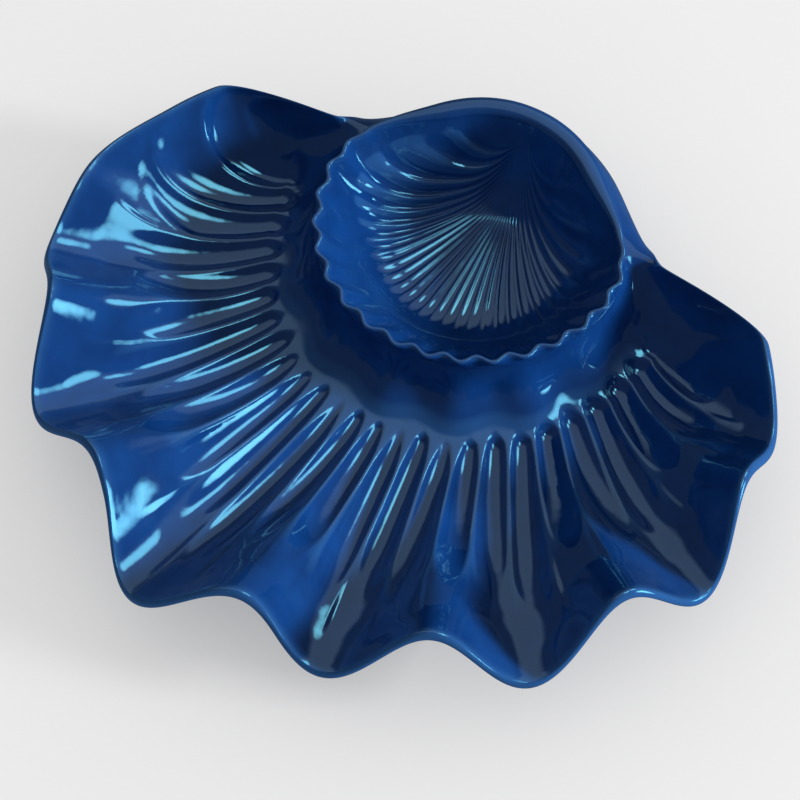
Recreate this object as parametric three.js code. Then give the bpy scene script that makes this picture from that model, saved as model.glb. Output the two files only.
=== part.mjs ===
// Shell-shaped chip-and-dip dish in glazed ceramic: a fluted tray with a lobed rim, a dip bowl set in its
// raised collar, the slip joint between them and two unglazed feet.
// Millimetres, +Z up, front towards -Y, origin under the middle of the outline.
import * as THREE from 'three';

const { degToRad, lerp, smoothstep } = THREE.MathUtils;

// Driving dimensions. Angles are degrees about the dip bowl's centre, 0 at the front, left side negative.
// A pair of angles is where a change along the outline begins and ends, on either side.
const RIM_HALF_WIDTH = 162.8;
const RIM_HALF_DEPTH = 139.9;
const RIM_FORWARD = 68; // the rim ellipse's centre lies this far in front of the bowl's centre
const RIM_HEIGHT = 44;
const RIM_END_HEIGHT = 47;
const RIM_RISES = [41, 98];
const LOBE_ANGLE = 23.1;
const LEFT_LOBE_ANGLE = 24.2;
const LOBE_IN_OUT = 15.4;
const LOBE_UP_DOWN = 25;
const LOBES_FADE = [57, 96];
const LEFT_LOBES_FADE = [46, 75];
const SWELL = 12.4; // the lobe left of the front reaches this much further out
const SWELL_ANGLE = -7;
const SWELL_SPREAD_ANGLE = 12.8;
const SHOULDER = 5; // the rim's left end reaches this much further out
const SHOULDER_ANGLE = -72;
const SHOULDER_SPREAD_ANGLE = 13;
const BOWL_RADIUS = 72.2;
const BOWL_BACK_RADIUS = 62;
const BOWL_NARROWS = [85, 135];
const BOWL_FRONT_HEIGHT = 46;
const BOWL_BACK_HEIGHT = 58;
const BOWL_RISES = [60, 176];
const BOWL_FLOOR = 14;
const BOWL_FLAT_SHARE = 0.4; // flat middle of the bowl's floor, as a share of its radius
const BOWL_CURVE = 2.2;
const BOWL_WALL = 3.8;
const CUP_TOP_SHARE = 0.92; // the cup's outer face leaves the lip's underside at this share of its radius
const LIP_ROLL = 1.3; // rounding of the tray's lip
const LIP_WIDTH = 4;
const LIP_THICKNESS = 4.5;
const LIP_OVERHANG = 0.5;
const LIP_ROUNDING = 0.8;
const FLOOR_HEIGHT = 11;
const FLOOR_CURVE = 1.8;
const MOAT_RUN = 24; // plan width of the hollow curve between the bowl's lip and the tray's floor
const TRAY_THICKNESS = 4.5;
const COLLAR_THICKNESS = 3;
const TRAY_CLOSES = [92.6, 104.2]; // the tray draws in from its ellipse to the bowl
const POCKET_CLOSES = [84, 108]; // the tray's hollow turns into the skirt's outer face
const JUNCTION_WIDTH = 12;
const SKIRT_DROPS = [98, 140]; // the tray's lip comes down to the skirt's lower edge behind the bowl
const SKIRT_FOOT_RADIUS = 69;
const SKIRT_BULGE = 8;
const SKIRT_CLEARANCE = 7; // the skirt ends this far above the table
const JOINT_GAP = 0.3;
const SLIP_THICKNESS = 0.9;
const SLIP_INSET = 0.4;
const FOOT_WIDTH = 7;
const FOOT_TAPER = 1;
const TRAY_FOOT_OFFSET = 14; // from the moat's outer edge to the tray's foot
const TRAY_FOOT_END_ANGLE = 80;
const BOWL_FOOT_RADIUS = 26;

// Flutes: concave channels between narrow ridges, counted outwards from the front on each side.
const RIDGE_SHARPNESS = 1.5;
const RIDGE_LEVEL = 0.35; // share of a flute's depth that lies below the plain surface
const TRAY_FLUTES = 13;
const LAST_FLUTES = 1.5; // count over which the flutes die away at either end
const TRAY_FLUTE_ANGLE = 5.1;
const TRAY_FLUTE_GROWTH = 0.00165;
const TRAY_FLUTE_DEPTH = 3.2;
const TRAY_FLUTE_GROWS = [0.45, 1.05]; // along the tray's section: 0 to 1 collar, 1 to 2 floor
const TRAY_FLUTE_FADES = [1.45, 1.9];
const TRAY_LEAN_ANGLE = 10;
const TRAY_FLARE_ANGLE = 7;
const LEAN_FADES = [80, 130];
const BOWL_FLUTES = 15;
const BOWL_FLUTE_ANGLE = 4.2;
const BOWL_FLUTE_GROWTH = 0.0012;
const BOWL_FLUTE_DEPTH = 1.6;
const BOWL_FLUTE_GROWS = [0.08, 0.3]; // along the line from the flutes' hub to the lip
const BOWL_FLUTE_FADES = [0.62, 0.92];
const HUB_SHARE = 0.86; // where the bowl's flutes meet, as a share of the bowl's back radius
const SCALLOP = 0.9;

// Mesh steps.
const TRAY_STEPS_PER_FLUTE = 4;
const BOWL_STEPS_PER_FLUTE = 3;
const BACK_STEPS = 44;
const BACK_CROWDING = 0.6; // shortens the steps where the tray meets the skirt
const WALL_STEPS = 4;
const FLOOR_STEPS = 7;
const UNDER_WALL_STEPS = 3;
const UNDER_FLOOR_STEPS = 5;
const BOWL_STEPS = 9;
const CUP_STEPS = 5;
const RING_ANGLE = 4;
const FOOT_SEGMENTS = 48;
const FULL_TURN = 360;
const HALVINGS = 40;
const PROBE = 0.01; // step for measuring a slope

const glaze = { color: 0x123f8c, roughness: 0.12, metalness: 0 };
const clay = { color: 0xd9cdb6, roughness: 0.85, metalness: 0 };

function polar(angle, radius, height) {
  const turn = degToRad(angle);
  return new THREE.Vector3(radius * Math.sin(turn), -radius * Math.cos(turn), height);
}

function ease(value, [from, to]) {
  return smoothstep(value, from, to);
}

function ridge(flute) {
  return Math.pow(0.5 + 0.5 * Math.cos(2 * Math.PI * flute), RIDGE_SHARPNESS);
}

function fluteAngle(flute, step, growth) {
  return step * flute * (1 + growth * flute * flute);
}

// Outer edge of the bowl's lip.
function bowlLip(angle) {
  const side = Math.abs(angle);
  return {
    r: lerp(BOWL_RADIUS, BOWL_BACK_RADIUS, ease(side, BOWL_NARROWS)),
    z: lerp(BOWL_FRONT_HEIGHT, BOWL_BACK_HEIGHT, ease(side, BOWL_RISES)),
  };
}

function rimEllipse(angle) {
  const across = Math.sin(degToRad(angle));
  const ahead = Math.cos(degToRad(angle));
  const a = (across / RIM_HALF_WIDTH) ** 2 + (ahead / RIM_HALF_DEPTH) ** 2;
  const b = (RIM_FORWARD * ahead) / RIM_HALF_DEPTH ** 2;
  const c = (RIM_FORWARD / RIM_HALF_DEPTH) ** 2 - 1;
  return (b + Math.sqrt(b * b - a * c)) / a;
}

// The tray's lip: lobed in front, drawn in at the ends, then the lower edge of the skirt behind the bowl.
function trayLip(angle) {
  const side = Math.abs(angle);
  const drop = ease(side, SKIRT_DROPS);
  const pitch = angle < 0 ? LEFT_LOBE_ANGLE : LOBE_ANGLE;
  const fade = ease(side, angle < 0 ? LEFT_LOBES_FADE : LOBES_FADE);
  const lobe = -Math.cos((2 * Math.PI * angle) / pitch) * (1 - fade);
  const swell = SWELL * (1 - ease(Math.abs(angle - SWELL_ANGLE), [0, SWELL_SPREAD_ANGLE]));
  const shoulder = SHOULDER * (1 - ease(Math.abs(angle - SHOULDER_ANGLE), [0, SHOULDER_SPREAD_ANGLE]));
  const junction = lerp(BOWL_RADIUS + JUNCTION_WIDTH, SKIRT_FOOT_RADIUS, drop);
  const plain = lerp(rimEllipse(angle), junction, ease(side, TRAY_CLOSES));
  const height = lerp(RIM_HEIGHT, RIM_END_HEIGHT, ease(side, RIM_RISES));
  return {
    r: plain + (LOBE_IN_OUT / 2) * lobe + swell + shoulder,
    z: lerp(height, SKIRT_CLEARANCE, drop) - (LOBE_UP_DOWN / 2) * lobe,
  };
}

// Upper surface of the tray without flutes: along 0 to 1 down the collar, 1 to 2 over the floor to the lip.
function traySection(angle, along) {
  const lip = bowlLip(angle);
  const rim = trayLip(angle);
  const side = Math.abs(angle);
  const top = { r: lip.r - LIP_OVERHANG, z: lip.z - LIP_THICKNESS - SLIP_THICKNESS - 2 * JOINT_GAP };
  const moat = { r: top.r, z: top.z };
  if (along <= 1) {
    moat.r += MOAT_RUN * (1 - Math.cos((Math.PI / 2) * along));
    moat.z = lerp(top.z, FLOOR_HEIGHT, Math.sin((Math.PI / 2) * along));
  } else {
    moat.r = lerp(top.r + MOAT_RUN, rim.r, along - 1);
    moat.z = lerp(FLOOR_HEIGHT, rim.z, Math.pow(along - 1, FLOOR_CURVE));
  }
  const share = along / 2;
  const bulge = SKIRT_BULGE * ease(side, SKIRT_DROPS);
  const skirt = {
    r: lerp(top.r, rim.r, share) + bulge * Math.sin(Math.PI * share),
    z: lerp(top.z, rim.z, share),
  };
  const closed = ease(side, POCKET_CLOSES);
  return { r: lerp(moat.r, skirt.r, closed), z: lerp(moat.z, skirt.z, closed) };
}

function trayNormal(angle, along) {
  const before = traySection(angle, Math.max(along - PROBE, 0));
  const after = traySection(angle, Math.min(along + PROBE, 2));
  const length = Math.hypot(after.r - before.r, after.z - before.z);
  return { r: -(after.z - before.z) / length, z: (after.r - before.r) / length };
}

// Flutes leave the collar aimed away from the front, straighten over the floor and bend out to the lip.
function sweptAngle(angle, along) {
  const floor = Math.max(along - 1, 0);
  const turn = Math.sin(degToRad(angle));
  const lean = TRAY_LEAN_ANGLE * turn * (1 - floor) ** 2;
  const flare = TRAY_FLARE_ANGLE * turn * Math.abs(turn) * floor ** 2;
  return angle + (lean + flare) * (1 - ease(Math.abs(angle), LEAN_FADES));
}

function trayOffset(angle, along, lift) {
  const point = traySection(angle, along);
  const normal = trayNormal(angle, along);
  return polar(angle, point.r + normal.r * lift, point.z + normal.z * lift);
}

function trayPoint(station, along, lift) {
  return trayOffset(sweptAngle(station.angle, along), along, lift);
}

function trayThickness(along) {
  return lerp(COLLAR_THICKNESS, TRAY_THICKNESS, smoothstep(along, 0, 1));
}

function fluteLift(station, along) {
  const window = ease(along, TRAY_FLUTE_GROWS) * (1 - ease(along, TRAY_FLUTE_FADES));
  return TRAY_FLUTE_DEPTH * (ridge(station.flute) - RIDGE_LEVEL) * window * station.strength;
}

// Joins loops of equal length into one closed body; open rows of loops are capped at both ends.
function skin(loops, wrap) {
  const count = loops[0].length;
  const points = loops.flat();
  const faces = [];
  const spans = wrap ? loops.length : loops.length - 1;
  for (let i = 0; i < spans; i += 1) {
    const near = i * count;
    const far = ((i + 1) % loops.length) * count;
    for (let j = 0; j < count; j += 1) {
      const next = (j + 1) % count;
      faces.push(near + j, far + j, far + next);
      faces.push(near + j, far + next, near + next);
    }
  }
  if (!wrap) {
    const last = (loops.length - 1) * count;
    for (const start of [0, last]) {
      const centre = new THREE.Vector3();
      loops[start / count].forEach((point) => centre.addScaledVector(point, 1 / count));
      const hub = points.push(centre) - 1;
      for (let j = 0; j < count; j += 1) {
        const next = (j + 1) % count;
        faces.push(hub, start + (start ? next : j), start + (start ? j : next));
      }
    }
  }
  let volume = 0;
  for (let i = 0; i < faces.length; i += 3) {
    const across = new THREE.Vector3().crossVectors(points[faces[i + 1]], points[faces[i + 2]]);
    volume += points[faces[i]].dot(across);
  }
  if (volume < 0) {
    faces.reverse();
  }
  const geometry = new THREE.BufferGeometry().setFromPoints(points);
  geometry.setIndex(faces);
  geometry.computeVertexNormals();
  return geometry;
}

function trayStations() {
  const stations = [];
  const reach = TRAY_FLUTES * TRAY_STEPS_PER_FLUTE;
  for (let i = -reach; i <= reach; i += 1) {
    const flute = i / TRAY_STEPS_PER_FLUTE;
    const angle = fluteAngle(flute, TRAY_FLUTE_ANGLE, TRAY_FLUTE_GROWTH);
    const strength = 1 - ease(Math.abs(flute), [TRAY_FLUTES - LAST_FLUTES, TRAY_FLUTES]);
    stations.push({ angle, flute, strength });
  }
  const end = fluteAngle(TRAY_FLUTES, TRAY_FLUTE_ANGLE, TRAY_FLUTE_GROWTH);
  for (let i = 1; i < BACK_STEPS; i += 1) {
    const share = i / BACK_STEPS;
    const crowded = share - (BACK_CROWDING * Math.sin(2 * Math.PI * share)) / (2 * Math.PI);
    const around = lerp(end, FULL_TURN - end, crowded);
    stations.push({ angle: around > FULL_TURN / 2 ? around - FULL_TURN : around, flute: 0, strength: 0 });
  }
  return stations;
}

function trayShell() {
  const loops = trayStations().map((station) => {
    const loop = [];
    for (let i = 0; i <= WALL_STEPS + FLOOR_STEPS; i += 1) {
      const along = i <= WALL_STEPS ? i / WALL_STEPS : 1 + (i - WALL_STEPS) / FLOOR_STEPS;
      loop.push(trayPoint(station, along, fluteLift(station, along)));
    }
    const edge = trayPoint(station, 2, -TRAY_THICKNESS / 2);
    const inside = trayPoint(station, 2 - PROBE, -TRAY_THICKNESS / 2);
    const outwards = edge.clone().sub(inside).normalize();
    loop.push(edge.addScaledVector(outwards, LIP_ROLL), trayPoint(station, 2, -TRAY_THICKNESS));
    for (let i = UNDER_WALL_STEPS + UNDER_FLOOR_STEPS - 1; i >= 0; i -= 1) {
      const floor = (i - UNDER_WALL_STEPS) / UNDER_FLOOR_STEPS;
      const along = floor >= 0 ? 1 + floor : i / UNDER_WALL_STEPS;
      loop.push(trayPoint(station, along, -trayThickness(along)));
    }
    return loop;
  });
  return skin(loops, true);
}

// Inside of the bowl at a share of the way from its centre to the lip's inner edge.
function bowlInside(angle, share) {
  const lip = bowlLip(angle);
  const slope = Math.max(share - BOWL_FLAT_SHARE, 0) / (1 - BOWL_FLAT_SHARE);
  const rise = Math.pow(slope, BOWL_CURVE);
  return { r: share * (lip.r - LIP_WIDTH), z: lerp(BOWL_FLOOR, lip.z - LIP_ROUNDING, rise) };
}

function bowlOutside(angle, share) {
  const before = bowlInside(angle, share - PROBE);
  const after = bowlInside(angle, share + PROBE);
  const length = Math.hypot(after.r - before.r, after.z - before.z);
  const point = bowlInside(angle, share);
  const r = point.r + (BOWL_WALL * (after.z - before.z)) / length;
  const z = point.z - (BOWL_WALL * (after.r - before.r)) / length;
  return polar(angle, r, z);
}

// Lines from the hub of the bowl's flutes to its lip, one row of them per flute step.
function bowlStations() {
  const hub = { x: 0, y: HUB_SHARE * (BOWL_BACK_RADIUS - LIP_WIDTH) };
  const turns = [];
  const reach = BOWL_FLUTES * BOWL_STEPS_PER_FLUTE;
  for (let i = -reach; i <= reach; i += 1) {
    const flute = i / BOWL_STEPS_PER_FLUTE;
    turns.push({ turn: fluteAngle(flute, BOWL_FLUTE_ANGLE, BOWL_FLUTE_GROWTH), flute, strength: 1 });
  }
  const end = fluteAngle(BOWL_FLUTES, BOWL_FLUTE_ANGLE, BOWL_FLUTE_GROWTH);
  for (let i = 1; i < BACK_STEPS / 2; i += 1) {
    turns.push({ turn: lerp(end, FULL_TURN - end, i / (BACK_STEPS / 2)), flute: 0, strength: 0 });
  }
  return turns.map(({ turn, flute, strength }) => {
    const across = Math.sin(degToRad(turn));
    const ahead = -Math.cos(degToRad(turn));
    const at = (distance) => {
      const x = hub.x + across * distance;
      const y = hub.y + ahead * distance;
      const angle = THREE.MathUtils.radToDeg(Math.atan2(x, -y));
      const share = Math.hypot(x, y) / (bowlLip(angle).r - LIP_WIDTH);
      return { angle, share };
    };
    let near = 0;
    let far = 2 * BOWL_RADIUS;
    for (let i = 0; i < HALVINGS; i += 1) {
      const middle = (near + far) / 2;
      if (at(middle).share < 1) {
        near = middle;
      } else {
        far = middle;
      }
    }
    return { at, distance: near, flute, strength };
  });
}

function dipBowl() {
  const stations = bowlStations();
  const rings = [];
  for (let i = 1; i < BOWL_STEPS; i += 1) {
    const part = i / BOWL_STEPS;
    const window = ease(part, BOWL_FLUTE_GROWS) * (1 - ease(part, BOWL_FLUTE_FADES));
    rings.push(stations.map(({ at, distance, flute, strength }) => {
      const { angle, share } = at(part * distance);
      const { r, z } = bowlInside(angle, share);
      return polar(angle, r, z + BOWL_FLUTE_DEPTH * (ridge(flute) - RIDGE_LEVEL) * window * strength);
    }));
  }
  const lipRing = (inset, drop) => stations.map(({ at, distance, flute, strength }) => {
    const { angle } = at(distance);
    const lip = bowlLip(angle);
    const wave = SCALLOP * (ridge(flute + 0.5) - 1) * strength * (1 - inset / LIP_WIDTH);
    return polar(angle, lip.r - inset + wave, lip.z - drop);
  });
  rings.push(lipRing(LIP_WIDTH, LIP_ROUNDING));
  rings.push(lipRing(LIP_WIDTH / 2, 0));
  rings.push(lipRing(0, 2 * LIP_ROUNDING));
  rings.push(lipRing(0, LIP_THICKNESS));
  rings.push(lipRing(LIP_OVERHANG + COLLAR_THICKNESS + JOINT_GAP, LIP_THICKNESS));
  for (let i = CUP_STEPS; i > 0; i -= 1) {
    const share = (CUP_TOP_SHARE * i) / CUP_STEPS;
    rings.push(stations.map(({ at, distance }) => bowlOutside(at(distance).angle, share)));
  }
  return skin(rings, false);
}

// A ring with a four-sided section from its inner and outer radius and its lower and upper edge.
function quadSection(angle, inner, outer, base, top) {
  return [[outer, top], [outer, base], [inner, base], [inner, top]].map(([r, z]) => polar(angle, r, z));
}

// Thin bed of slip between the bowl's lip and the collar's top edge.
function slipJoint() {
  const loops = [];
  for (let angle = -FULL_TURN / 2; angle < FULL_TURN / 2; angle += RING_ANGLE) {
    const lip = bowlLip(angle);
    const outer = lip.r - LIP_OVERHANG - SLIP_INSET;
    const inner = lip.r - LIP_OVERHANG - COLLAR_THICKNESS + SLIP_INSET;
    const top = lip.z - LIP_THICKNESS - JOINT_GAP;
    loops.push(quadSection(angle, inner, outer, top - SLIP_THICKNESS, top));
  }
  return skin(loops, true);
}

// Curved foot under the tray's floor, following the moat from side to side.
function trayFoot() {
  const loops = [];
  for (let angle = -TRAY_FOOT_END_ANGLE; angle <= TRAY_FOOT_END_ANGLE; angle += RING_ANGLE) {
    const run = trayLip(angle).r - bowlLip(angle).r + LIP_OVERHANG - MOAT_RUN;
    const drop = -TRAY_THICKNESS - JOINT_GAP;
    const inner = trayOffset(angle, 1 + TRAY_FOOT_OFFSET / run, drop);
    const outer = trayOffset(angle, 1 + (TRAY_FOOT_OFFSET + FOOT_WIDTH) / run, drop);
    const outerBase = polar(angle, Math.hypot(outer.x, outer.y) - FOOT_TAPER, 0);
    const innerBase = polar(angle, Math.hypot(inner.x, inner.y) + FOOT_TAPER, 0);
    loops.push([inner, outer, outerBase, innerBase]);
  }
  return skin(loops, false);
}

function bowlFoot() {
  const top = BOWL_FLOOR - BOWL_WALL - JOINT_GAP;
  const outer = BOWL_FOOT_RADIUS;
  const inner = BOWL_FOOT_RADIUS - FOOT_WIDTH;
  const base = [[inner + FOOT_TAPER, 0], [outer - FOOT_TAPER, 0]];
  const profile = [[outer, top], [inner, top], ...base, [outer, top]];
  const points = profile.map(([r, z]) => new THREE.Vector2(r, z));
  return new THREE.LatheGeometry(points, FOOT_SEGMENTS).rotateX(Math.PI / 2);
}

const dish = new THREE.Group();
dish.name = 'shell_dish';
const pieces = [
  ['tray_shell', trayShell(), glaze],
  ['dip_bowl', dipBowl(), glaze],
  ['slip_joint', slipJoint(), glaze],
  ['tray_foot', trayFoot(), clay],
  ['bowl_foot', bowlFoot(), clay],
];
for (const [name, geometry, finish] of pieces) {
  const mesh = new THREE.Mesh(geometry, new THREE.MeshStandardMaterial(finish));
  mesh.name = name;
  dish.add(mesh);
}
const outline = new THREE.Box3().setFromObject(dish);
const middle = outline.getCenter(new THREE.Vector3());
dish.children.forEach((mesh) => mesh.geometry.translate(-middle.x, -middle.y, 0));

export default dish;
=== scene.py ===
import math

import bmesh
import bpy
import numpy as np
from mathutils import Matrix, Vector


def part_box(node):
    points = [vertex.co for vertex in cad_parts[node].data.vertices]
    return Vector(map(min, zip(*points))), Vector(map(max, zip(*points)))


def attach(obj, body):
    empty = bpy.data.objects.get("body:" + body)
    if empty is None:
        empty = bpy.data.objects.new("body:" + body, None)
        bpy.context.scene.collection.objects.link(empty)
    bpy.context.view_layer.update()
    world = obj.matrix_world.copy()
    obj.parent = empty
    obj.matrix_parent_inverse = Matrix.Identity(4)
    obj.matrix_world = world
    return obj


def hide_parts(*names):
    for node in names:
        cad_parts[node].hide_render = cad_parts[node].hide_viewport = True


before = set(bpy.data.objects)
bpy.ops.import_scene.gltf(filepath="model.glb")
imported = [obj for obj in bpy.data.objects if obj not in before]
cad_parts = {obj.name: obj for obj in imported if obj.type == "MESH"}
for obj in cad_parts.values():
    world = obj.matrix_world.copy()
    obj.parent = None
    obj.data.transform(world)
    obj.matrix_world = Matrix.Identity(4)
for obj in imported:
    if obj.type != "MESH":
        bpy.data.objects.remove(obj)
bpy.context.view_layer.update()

bl_info = {
    "name": "Shell-Shaped Serving Dish",
    "version": (1, 0, 0),
    "blender": (4, 5, 0),
    "location": "3D View > Sidebar > Dish",
    "description": "Builds a glazed shell-shaped chip-and-dip dish and its stage around the packed frame",
    "category": "Add Mesh",
}

FOOT_LOW, FOOT_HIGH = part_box("bowl_foot")
# The bowl's centre in plan: every angle below is measured about it, 0 at the front, left side negative.
CENTRE = ((Vector(FOOT_LOW) + Vector(FOOT_HIGH)) / 2).to_2d()

# Points on the meshes: stations follow one another round the dish, rows run down or across each section.
TRAY_STATIONS_PER_FLUTE, BOWL_STATIONS_PER_FLUTE = 18, 9
TRAY_BACK_STATIONS, BOWL_BACK_STATIONS = 110, 82
BACK_CROWDING = 0.6  # shortens the steps where the tray meets the skirt
SLIP_STATIONS, ARC_STATIONS, RING_STATIONS = 360, 161, 180
COLLAR_ROWS, FLOOR_ROWS, RIM_ROWS = 26, 49, 13
UNDER_COLLAR_ROWS, UNDER_FLOOR_ROWS = 15, 25
BOWL_ROWS, CUP_ROWS = 62, 17
LIP_INNER_ROWS, LIP_OUTER_ROWS = 8, 10
FOOT_ROWS, FOOT_EDGE_ROWS = 7, 6
HALVINGS = 40  # steps in the search for where a flute meets the lip
PROBE = 0.004  # step for measuring a slope
SHARP = 0.0002  # rows this close together keep an edge crisp under smooth shading

# Places along the tray's section, where 0 to 1 is the collar and 1 to 2 the floor up to the rim.
COLLAR_EDGE = 0.008  # a row close under the collar's top keeps that edge crisp
THIN_RIM_AND_HIGHLIGHT = (1.97, 2.0)  # glaze draws thin, and the rim's edge is painted pale as a painted highlight too
CALM_RIM = (1.8, 2.0)  # waviness dies away

# Shares of the way from the bowl's middle to its lip.
WAVED_WALL = (0.75, 1.0)  # the inside takes up the lip's scallops
CALM_LIP = (0.85, 1.0)  # waviness dies away
CUP_TOP = 0.92  # the bowl's outer wall begins

LIP_SEAT = (0.0022, 0.003)  # rows across the lip's underside, in from its outer side
FLUTE_STRAY = 2.4  # turns a flute's number into a scatter of heads and tails
FLUTE_LEVEL = 0.35  # share of a flute's depth that lies below the plain surface
RIM_THIN_GLAZE_AND_HIGHLIGHT, LIP_THIN_GLAZE_AND_HIGHLIGHT = 0.4, 0.15  # how much of the pale thin glaze shows on the tray's rim and the bowl's lip, where it is also a painted highlight

# How flutes are pressed: each line names a value, the operation that makes it and what goes in. A word with a
# capital is an input of the tree; flute, head, press and loose are kept on every point.
FLUTE_STEPS = (
    # 0 along the middle of a channel, 1 on a crest; a channel curves up to its ends as it does to its sides.
    ("aside", "PINGPONG", "flute", 0.5),
    ("across", "MULTIPLY_ADD", "aside", -2.0, 1.0),
    ("end", "SUBTRACT", 1.0, "head"),
    ("end squared", "MULTIPLY", "end", "end"),
    ("both squared", "MULTIPLY_ADD", "across", "across", "end squared"),
    ("far", "SQRT", "both squared"),
    ("reach", "MINIMUM", "far", 1.0),
    # The channel is a parabola, eased over near its crest so that glaze can lie on it.
    ("scoop", "MULTIPLY", "reach", "reach"),
    ("over", "SUBTRACT", "reach", "Crest"),
    ("past", "MAXIMUM", "over", 0.0),
    ("past squared", "MULTIPLY", "past", "past"),
    ("room", "SUBTRACT", 1.0, "Crest"),
    ("shave", "DIVIDE", "past squared", "room"),
    ("eased", "SUBTRACT", "scoop", "shave"),
    ("ridge", "DIVIDE", "eased", "Crest"),
    ("above", "SUBTRACT", "ridge", "Level"),
    ("pressed", "MULTIPLY", "above", "press"),
    ("lift", "MULTIPLY", "pressed", "Depth"),
    # Slow waviness comes on top, and crests note where glaze runs thin.
    ("swing", "SUBTRACT", "wave", 0.5),
    ("freed", "MULTIPLY", "swing", "loose"),
    ("total", "MULTIPLY_ADD", "freed", "Unevenness", "lift"),
    ("thinned", "MULTIPLY", "ridge", "press"),
)

# The stage: turns are degrees round from the front, heights degrees up from the table.
FLOOR_REACH = 6.0
SHADE_REACH = 0.12
PAPER_GLOW_WITH_PAINTED_SHADOW = (0.35, 0.8)  # glow of the paper: dimmed as a painted shadow under the dish, full in the open
CAMERA_TURN, CAMERA_HEIGHT, CAMERA_AWAY = 29.3, 63, 0.75
CAMERA_LENS, CAMERA_SENSOR, CAMERA_CLIP = 77.05, 36, (0.01, 50)
CAMERA_TARGET = (0.010, -0.0859, 0.025)  # from the bowl's centre on the table
KEY_TURN, KEY_HEIGHT, KEY_AWAY = 112, 20, 3.2
KEY_SIZE, KEY_RADIANCE = 0.6, 108
GLOW_TURN, GLOW_HEIGHT = 198, 45
GLOW_EDGE = (0.5, 0.72)  # cosine of the angle from the glow's middle
GLOW_BASE = (0.36, 0.54)  # sine of the height
WINDOWS = ((104, 10, 18), (104, 58, 13), (142, 42, 13))  # turn, height and radiance of each
WINDOW_EDGE = (0.22, 0.05)  # angle from a window's middle, in radians
DARK_ROOM, GREY_GLOW = (0.08, 0.13, 0.18, 1), (0.52, 0.82, 1.12, 1)
SKY_BLUE, DIM_SKY = (0.22, 0.75, 1.0), (0.2, 0.2, 0.2, 1)


def linear(code):
    """Linear RGBA from an sRGB hex colour."""
    parts = [int(code[i:i + 2], 16) / 255 for i in (1, 3, 5)]
    return [p / 12.92 if p <= 0.04045 else ((p + 0.055) / 1.055) ** 2.4 for p in parts] + [1.0]


def maker(kind, convert=None, **fixed):
    """Makes properties of one kind, each from its name, description and default."""
    def make(name, description, default):
        value = convert(default) if convert else default
        return kind(name=name, description=description, default=value, **fixed)
    return make


def radians(degrees):
    return [math.radians(part) for part in degrees]


length = maker(bpy.props.FloatProperty, precision=4, unit="LENGTH")
angle = maker(bpy.props.FloatProperty, math.radians, subtype="ANGLE")
span = maker(bpy.props.FloatVectorProperty, radians, size=2, unit="ROTATION")
pair = maker(bpy.props.FloatVectorProperty, size=2)
number = maker(bpy.props.FloatProperty, precision=5)
tally = maker(bpy.props.IntProperty)
colour = maker(bpy.props.FloatVectorProperty, linear, size=4, min=0, max=1, subtype="COLOR")


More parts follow.
